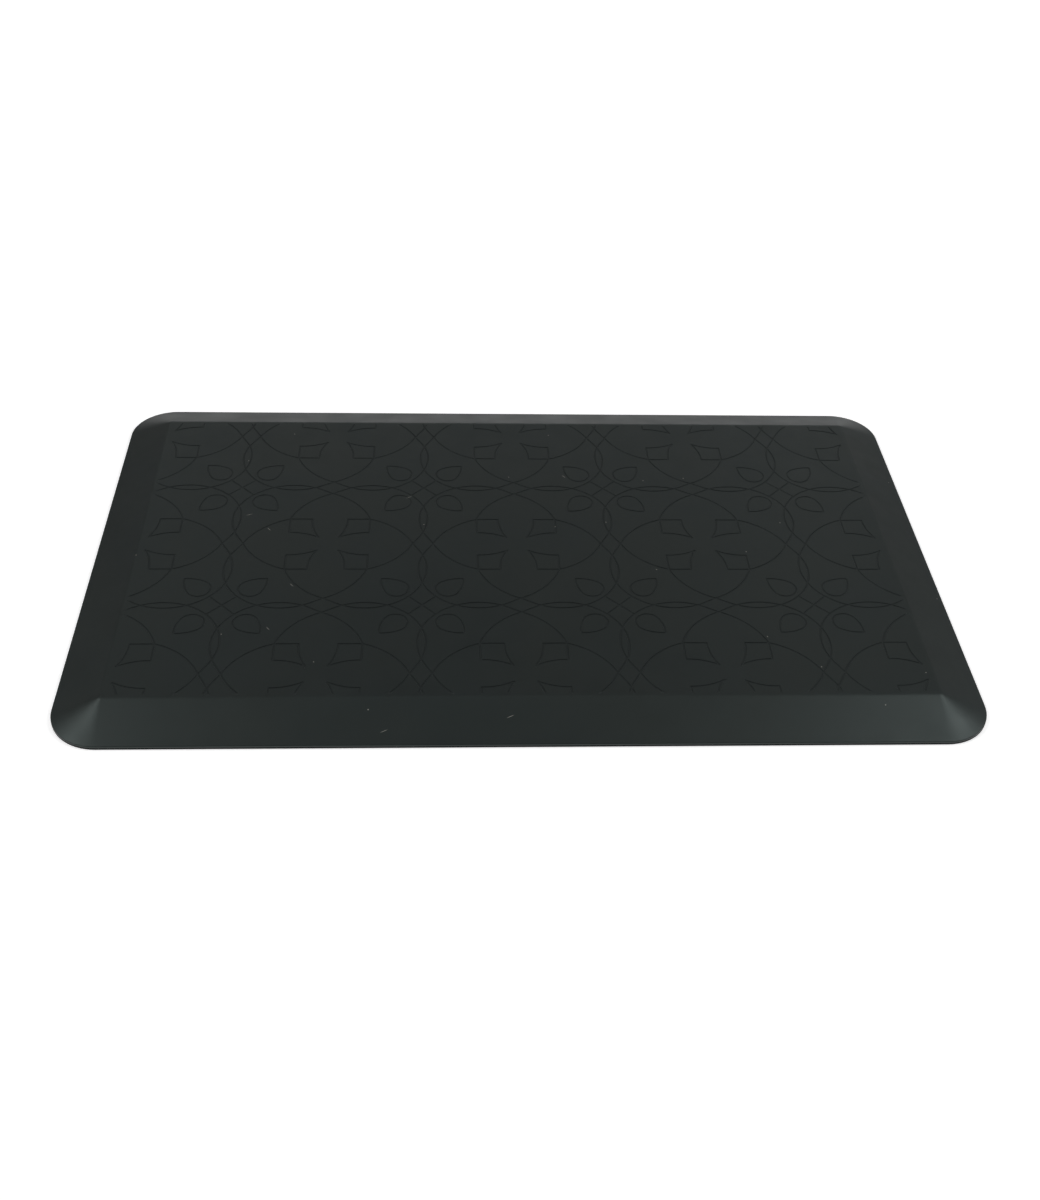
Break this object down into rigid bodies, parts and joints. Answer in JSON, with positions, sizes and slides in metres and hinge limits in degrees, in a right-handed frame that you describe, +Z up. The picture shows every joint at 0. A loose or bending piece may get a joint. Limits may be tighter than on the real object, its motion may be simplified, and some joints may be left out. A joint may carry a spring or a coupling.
{
  "type": "anti fatigue mat",
  "caption": "Flat rectangular standing mat with rounded corners and ramped borders: an embossed moulded skin over a foam core, on a thin grip sheet.",
  "frame": {"origin": "middle of the underside, at floor level", "axes": "+X along the long side, +Y away from the front edge across the short side, +Z up through the thickness"},
  "size_m": [0.8128, 0.508, 0.0191],
  "materials": {
    "top_skin": "satin near-black polyurethane skin with a fine matte grain and a shallow embossed tracery",
    "foam_core": "dark grey open-cell polyurethane foam, matte",
    "base_sheet": "matte black grip sheet"
  },
  "bodies": {
    "root": {"top_skin": "top_skin", "foam_core": "foam_core", "base_sheet": "base_sheet"}
  },
  "joints": []
}
